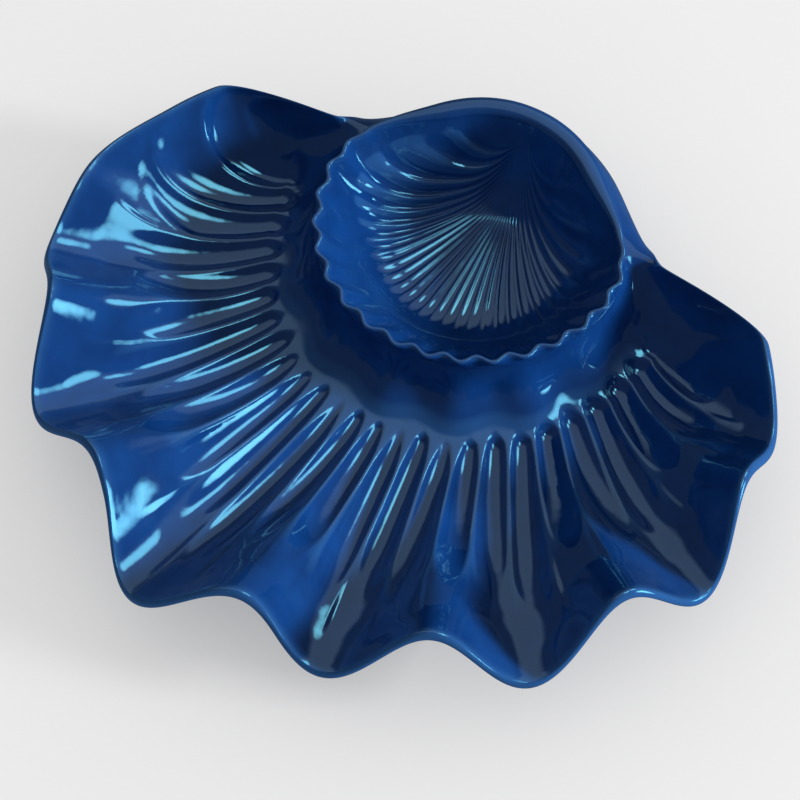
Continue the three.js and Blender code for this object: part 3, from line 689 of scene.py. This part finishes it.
class DISH_OT_bowl(bpy.types.Operator):
    """Builds the dip bowl with its fanned flutes and scalloped lip"""
    bl_idname = "dish.bowl"
    bl_label = "Build Bowl"

    def execute(self, context):
        dish = context.scene.shell_dish
        bowl = dish.bowl
        reach = bowl.flutes * BOWL_STATIONS_PER_FLUTE
        flute = np.arange(-reach, reach + 1)[:, None] / BOWL_STATIONS_PER_FLUTE
        fan = flute_turn(flute, bowl.flute_angle, bowl.flute_growth)
        back = np.linspace(fan[-1], 2 * np.pi - fan[-1], BOWL_BACK_STATIONS)[1:-1]
        strength = 1 - ease(np.abs(flute) - bowl.flutes, (-bowl.flutes_end, 0))
        blank = np.zeros_like(back)
        flute, strength = np.concatenate([flute, blank]), np.concatenate([strength, blank])
        fan = np.concatenate([fan, back])
        hub = bowl.hub * bowl_mouth(bowl, np.pi)[0]

        def on_line(distance, part):
            # Flutes leave the hub aimed at the front and bend out to the sides.
            bent = fan - bowl.flute_lean * np.sin(fan) * (1 - part)
            x = np.sin(bent) * distance
            y = hub - np.cos(bent) * distance
            turn = np.arctan2(x, -y)
            return turn, np.hypot(x, y) / bowl_mouth(bowl, turn)[0]

        near, far = np.zeros_like(fan), np.full_like(fan, 2 * bowl.radius)
        for _ in range(HALVINGS):
            middle = (near + far) / 2
            inside = on_line(middle, 1)[1] < 1
            near, far = np.where(inside, middle, near), np.where(inside, far, middle)
        part = np.linspace(0, 1, BOWL_ROWS)[1:-1]
        turns, share = on_line(part * near, part)
        floor_radius, floor_height = bowl_inside(bowl, turns, share)
        floor = polar(turns, floor_radius + lip_wave(dish, turns) * ease(share, WAVED_WALL), floor_height)
        rim_turn = on_line(near, 1)[0]
        lip_radius, lip_height = bowl_lip(bowl, rim_turn)
        mouth_radius, mouth_height = bowl_mouth(bowl, rim_turn)
        width, dip = lip_radius - mouth_radius, lip_height - mouth_height
        crest = bowl.lip_crest * width
        rounding = mix(bowl.lip_round, bowl.roll_round, roll_share(bowl, rim_turn))

        inwards = np.linspace(np.pi, np.pi / 2, LIP_INNER_ROWS)
        outwards = np.linspace(np.pi / 2, 0, LIP_OUTER_ROWS)[1:]
        below = np.zeros_like(rim_turn)
        inset = np.concatenate([
            crest - (width - crest) * np.cos(inwards),
            crest * (1 - np.cos(outwards)),
            below + [0, 0, SHARP, *LIP_SEAT]], axis=1)
        drop = np.concatenate([
            dip * (1 - np.sin(inwards)),
            rounding * (1 - np.sin(outwards)),
            below + bowl.lip_depth - [SHARP, 0, 0, 0, 0]], axis=1)
        wave = lip_wave(dish, rim_turn) * (1 - ease(drop, (0, bowl.lip_depth)))
        lip = polar(rim_turn, lip_radius - inset + wave, lip_height - drop)

        cup = np.linspace(CUP_TOP, 0, CUP_ROWS)[:-1]
        radius, height = bowl_inside(bowl, rim_turn, cup)
        across, up = normal(bowl_inside(bowl, rim_turn, cup - PROBE), bowl_inside(bowl, rim_turn, cup + PROBE))
        cup_side = polar(rim_turn, radius - bowl.wall * across, height - bowl.wall * up)

        rings = np.concatenate([floor, lip, cup_side], axis=1).transpose(1, 0, 2)
        count = fan.size
        faces = grid_faces(rings.shape[0], count, False)
        points = rings.reshape(-1, 3).tolist()
        poles = [
            (CENTRE.x, CENTRE.y + hub, bowl_inside(bowl, np.pi, bowl.hub)[1]),
            (CENTRE.x, CENTRE.y, bowl.floor - bowl.wall),
        ]
        starts = (0, (rings.shape[0] - 1) * count)
        for pole, start in zip(poles, starts):
            points.append(pole)
            for i in range(count):
                corners = [start + i, start + (i + 1) % count]
                faces.append([len(points) - 1] + (corners if start else corners[::-1]))
        tail = mix(*bowl.flute_tail, ease(np.abs(fan), bowl.flute_sides))
        folded = mix(1, bowl.fold_depth, ease(-fan, bowl.folds))
        deepens = np.minimum(part / bowl.flute_full, 1)
        press = deepens * folded * ease(tail - part, (0, bowl.flute_fade)) * strength
        head_length, tail_length = bowl.flute_ends
        head = pointed(np.minimum((part - bowl.flute_head) / head_length, (tail - part) / tail_length))

        def spread(values, hub_value=0.0):
            # Values for the inside, 0 for the lip and the outer wall, and one value for each pole.
            full = np.zeros(rings.shape[:2])
            full[:part.size] = np.broadcast_to(values, (count, part.size)).T
            return np.append(full.ravel(), [hub_value, 0])

        # The inside and its pole at the hub, which is the last point but one, move straight up and down.
        out = np.zeros((len(points), 3))
        out[:part.size * count, 2] = 1
        out[-2, 2] = 1
        edge = np.zeros(rings.shape[:2])
        # The lip's top is painted pale: thin glaze and a painted highlight.
        edge[part.size:part.size + inset.shape[1]] = LIP_THIN_GLAZE_AND_HIGHLIGHT * (1 - ease(drop, (0, bowl.lip_round))).T
        piece = mesh_object(
            "dip_bowl_glazed", points, faces, flute=spread(flute), press=spread(press), head=spread(head),
            out=out, edge=np.append(edge.ravel(), [0, 0]), loose=spread(1 - ease(part, CALM_LIP), 1.0))
        press_flutes(
            piece, cobalt_glaze(dish.look), depth=bowl.flute_depth, level=FLUTE_LEVEL, crest=bowl.flute_crest,
            unevenness=bowl.unevenness)
        settle(piece, "dip_bowl")
        return {"FINISHED"}


class DISH_OT_slip_joint(bpy.types.Operator):
    """Builds the bed of slip that lutes the bowl's lip to the collar"""
    bl_idname = "dish.slip_joint"
    bl_label = "Build Slip Joint"

    def execute(self, context):
        dish = context.scene.shell_dish
        bowl, tray, foot = dish.bowl, dish.tray, dish.foot
        turn = full_turn(SLIP_STATIONS)
        lip_radius, lip_height = bowl_lip(bowl, turn)
        # The slip is sponged flush with lip and collar, so that the wall runs on without a step.
        half = foot.slip / 2 + foot.gap * foot.slip_fill
        middle = lip_height - bowl.lip_depth - foot.gap - foot.slip / 2
        inset = np.array([SHARP, 0, 0, 0, 0, SHARP])
        rise = half * np.array([1, 1, 0.8, -0.8, -1, -1])
        ring = polar(turn, lip_radius - inset, middle + rise)
        inner = polar(turn, lip_radius - tray.collar + SHARP, middle + half * np.array([-1, 1]))
        loops = np.concatenate([ring, inner], axis=1)
        blank = np.zeros(loops.shape[:2])
        piece = mesh_object(
            "slip_joint_glazed", loops, grid_faces(*blank.shape, True), cobalt_glaze(dish.look),
            crest=blank, edge=blank)
        settle(piece, "slip_joint")
        return {"FINISHED"}


class DISH_OT_feet(bpy.types.Operator):
    """Builds the unglazed feet: an arc under the tray and a ring under the bowl"""
    bl_idname = "dish.feet"
    bl_label = "Build Feet"

    def execute(self, context):
        dish = context.scene.shell_dish
        tray, bowl, foot = dish.tray, dish.bowl, dish.foot
        clay = bare_clay(dish.look)
        turn = np.linspace(-foot.end, foot.end, ARC_STATIONS)[:, None]
        run = tray_rim(dish, turn)[0] - bowl_lip(bowl, turn)[0] + foot.allowance - tray.moat
        share = np.linspace(0, 1, FOOT_ROWS)
        along = 1 + (foot.offset + foot.width * share) / run
        radius, height, across, up = tray_surface(dish, turn, along)
        sink = tray.thickness + foot.gap
        top_radius, top_height = radius - across * sink, height - up * sink
        # The wiped lower edges are rounded, and the ends of the arc are drawn in.
        drawn = np.clip((np.abs(turn) - foot.end) / foot.draw_in + 1, 0, 1)
        ends = np.maximum(np.sqrt(1 - drawn ** 2), foot.narrowest)
        centre = (top_radius[:, :1] + top_radius[:, -1:]) / 2
        top_radius = centre + (top_radius - centre) * ends
        level = top_height[:, [share.size // 2]]
        top_height = level + (top_height - level) * ends
        base = (top_radius[:, -1:] - top_radius[:, :1]) / 2 - foot.taper * ends
        curl = np.linspace(0, np.pi / 2, FOOT_EDGE_ROWS)
        bend = foot.rounding * np.concatenate([1 - np.cos(curl), 1 - np.cos(curl[::-1])])
        rise = foot.rounding * np.concatenate([1 - np.sin(curl), 1 - np.sin(curl[::-1])])
        way = np.repeat([1, -1], FOOT_EDGE_ROWS)
        low_radius = centre + way * np.maximum(base - bend, base * foot.narrowest)
        loops = np.concatenate([polar(turn, top_radius, top_height), polar(turn, low_radius, rise)], axis=1)
        rows, columns = loops.shape[:2]
        faces = grid_faces(rows, columns, False)
        faces += [list(range(columns))[::-1], list(range((rows - 1) * columns, rows * columns))]
        arc = mesh_object("tray_foot_clay", loops, faces, clay)
        settle(arc, "tray_foot")

        turn = full_turn(RING_STATIONS)
        top = bowl.floor - bowl.wall - foot.gap
        outer, inner = foot.bowl_radius, foot.bowl_radius - foot.width
        middle, half = (outer + inner) / 2, (outer - inner) / 2 - foot.taper
        ring_radius = np.concatenate([[inner, outer], middle + way * (half - bend)])
        ring_height = np.concatenate([[top, top], rise])
        ring = polar(turn, ring_radius, ring_height)
        ring_foot = mesh_object("bowl_foot_clay", ring, grid_faces(*ring.shape[:2], True), clay)
        settle(ring_foot, "bowl_foot")
        return {"FINISHED"}


def facing(turn, height):
    """Direction of a place seen from the dish, by its angle round from the front and its height, in degrees."""
    turn, height = math.radians(turn), math.radians(height)
    level = math.cos(height)
    return Vector((math.sin(turn) * level, -math.cos(turn) * level, math.sin(height)))


def aimed(data, target, turn, height, away):
    """A light or camera that looks at a target from some way off."""
    toward = facing(turn, height)
    made = bpy.data.objects.new(data.name, data)
    made.location = target + away * toward
    made.rotation_euler = toward.to_track_quat("Z", "Y").to_euler()
    bpy.context.scene.collection.objects.link(made)
    return made


class DISH_OT_stage(bpy.types.Operator):
    """Lays a pale floor, lights the room softly and sets the camera"""
    bl_idname = "dish.stage"
    bl_label = "Set Stage"

    def execute(self, context):
        scene = context.scene
        look = scene.shell_dish.look
        paper = bpy.data.materials.new("pale paper")
        tree = fresh_tree(paper)
        # Painted shadow: the paper's glow is dimmed by ambient occlusion close to the dish, like the shade under a
        # wide soft sky.
        occlusion_for_painted_shadow = add_node(tree, "ShaderNodeAmbientOcclusion", {"Distance": SHADE_REACH}, output="AO")
        glow_with_painted_shadow = add_node(tree, "ShaderNodeMapRange", {0: occlusion_for_painted_shadow, 3: PAPER_GLOW_WITH_PAINTED_SHADOW[0], 4: PAPER_GLOW_WITH_PAINTED_SHADOW[1]})
        shader = add_node(
            tree, "ShaderNodeBsdfPrincipled",
            {"Base Color": look.paper[:], "Roughness": 0.9, "Specular IOR Level": 0.0,
             "Emission Color": look.floor[:], "Emission Strength": glow_with_painted_shadow})
        add_node(tree, "ShaderNodeOutputMaterial", {"Surface": shader})
        corners = [(FLOOR_REACH * x, FLOOR_REACH * y, 0) for x, y in ((-1, -1), (1, -1), (1, 1), (-1, 1))]
        floor = mesh_object("floor", corners, [[0, 1, 2, 3]], paper)
        floor.visible_glossy = False

        world = bpy.data.worlds.new("dim room")
        scene.world = world
        # Only rays that leave a surface see the room, so that matt light and mirror light stay apart below.
        world.cycles.sampling_method = "NONE"
        tree = fresh_tree(world)
        around = add_node(tree, "ShaderNodeTexCoord", output="Generated")
        up = add_node(tree, "ShaderNodeSeparateXYZ", {0: around}, output="Z")
        high = add_node(
            tree, "ShaderNodeMapRange", {0: up, 1: GLOW_BASE[0], 2: GLOW_BASE[1]},
            interpolation_type="SMOOTHSTEP")
        # In a dark room the glaze mirrors a wide grey glow behind the dish and three soft sky-blue windows on the
        # right: where each is, the cosines at its edge and its core, how full it is, and its light.
        lights = [(GLOW_TURN, GLOW_HEIGHT, *GLOW_EDGE, high, GREY_GLOW)]
        for turn, height, radiance in WINDOWS:
            sky = [radiance * part for part in SKY_BLUE] + [1]
            lights.append((turn, height, math.cos(WINDOW_EDGE[0]), math.cos(WINDOW_EDGE[1]), 1.0, sky))
        room = DARK_ROOM
        for turn, height, edge, core, full, light in lights:
            aim = add_node(
                tree, "ShaderNodeVectorMath", {0: around, 1: facing(turn, height)},
                operation="DOT_PRODUCT", output="Value")
            share = add_node(
                tree, "ShaderNodeMapRange", {0: aim, 1: edge, 2: core, 4: full},
                interpolation_type="SMOOTHSTEP")
            room = add_node(tree, "ShaderNodeMix", {0: share, 6: room, 7: light}, data_type="RGBA", output=2)
        mirrored = add_node(tree, "ShaderNodeBackground", {"Color": room})
        dim = add_node(tree, "ShaderNodeBackground", {"Color": DIM_SKY})
        pale = add_node(tree, "ShaderNodeBackground", {"Color": look.floor[:]})
        path = add_node(tree, "ShaderNodeLightPath").node.outputs
        lit = add_node(tree, "ShaderNodeMixShader", {0: path["Is Diffuse Ray"], 1: mirrored, 2: dim})
        both = add_node(tree, "ShaderNodeMixShader", {0: path["Is Camera Ray"], 1: lit, 2: pale})
        add_node(tree, "ShaderNodeOutputWorld", {"Surface": both})

        # A soft key on the right lights the glaze and does not show in it.
        data = bpy.data.lights.new("key", "AREA")
        data.size = KEY_SIZE
        data.energy = math.pi * KEY_SIZE ** 2 * KEY_RADIANCE
        key = aimed(data, Vector(), KEY_TURN, KEY_HEIGHT, KEY_AWAY)
        key.visible_camera = key.visible_glossy = False

        data = bpy.data.cameras.new("camera")
        data.lens, data.sensor_width = CAMERA_LENS, CAMERA_SENSOR
        data.clip_start, data.clip_end = CAMERA_CLIP
        target = CENTRE.to_3d() + Vector(CAMERA_TARGET)
        scene.camera = aimed(data, target, CAMERA_TURN, CAMERA_HEIGHT, CAMERA_AWAY)
        scene.view_settings.view_transform = "Standard"
        return {"FINISHED"}


class DISH_PT_panel(bpy.types.Panel):
    """Sizes, colours and building steps of the dish"""
    bl_label = "Shell Dish"
    bl_idname = "DISH_PT_panel"
    bl_space_type = "VIEW_3D"
    bl_region_type = "UI"
    bl_category = "Dish"

    def draw(self, context):
        layout = self.layout
        for operator in OPERATORS:
            layout.operator(operator.bl_idname)
        dish = context.scene.shell_dish
        for group in (dish.tray, dish.bowl, dish.foot, dish.look):
            box = layout.box()
            for name in group.__annotations__:
                box.prop(group, name)


OPERATORS = (DISH_OT_tray, DISH_OT_bowl, DISH_OT_slip_joint, DISH_OT_feet, DISH_OT_stage)
CLASSES = (DishTray, DishBowl, DishFoot, DishLook, ShellDish) + OPERATORS + (DISH_PT_panel,)


def register():
    for cls in CLASSES:
        bpy.utils.register_class(cls)
    bpy.types.Scene.shell_dish = bpy.props.PointerProperty(type=ShellDish)


def unregister():
    del bpy.types.Scene.shell_dish
    for cls in reversed(CLASSES):
        bpy.utils.unregister_class(cls)


def main():
    register()
    bpy.ops.dish.tray()
    bpy.ops.dish.bowl()
    bpy.ops.dish.slip_joint()
    bpy.ops.dish.feet()
    bpy.ops.dish.stage()


if __name__ == "__main__":
    main()
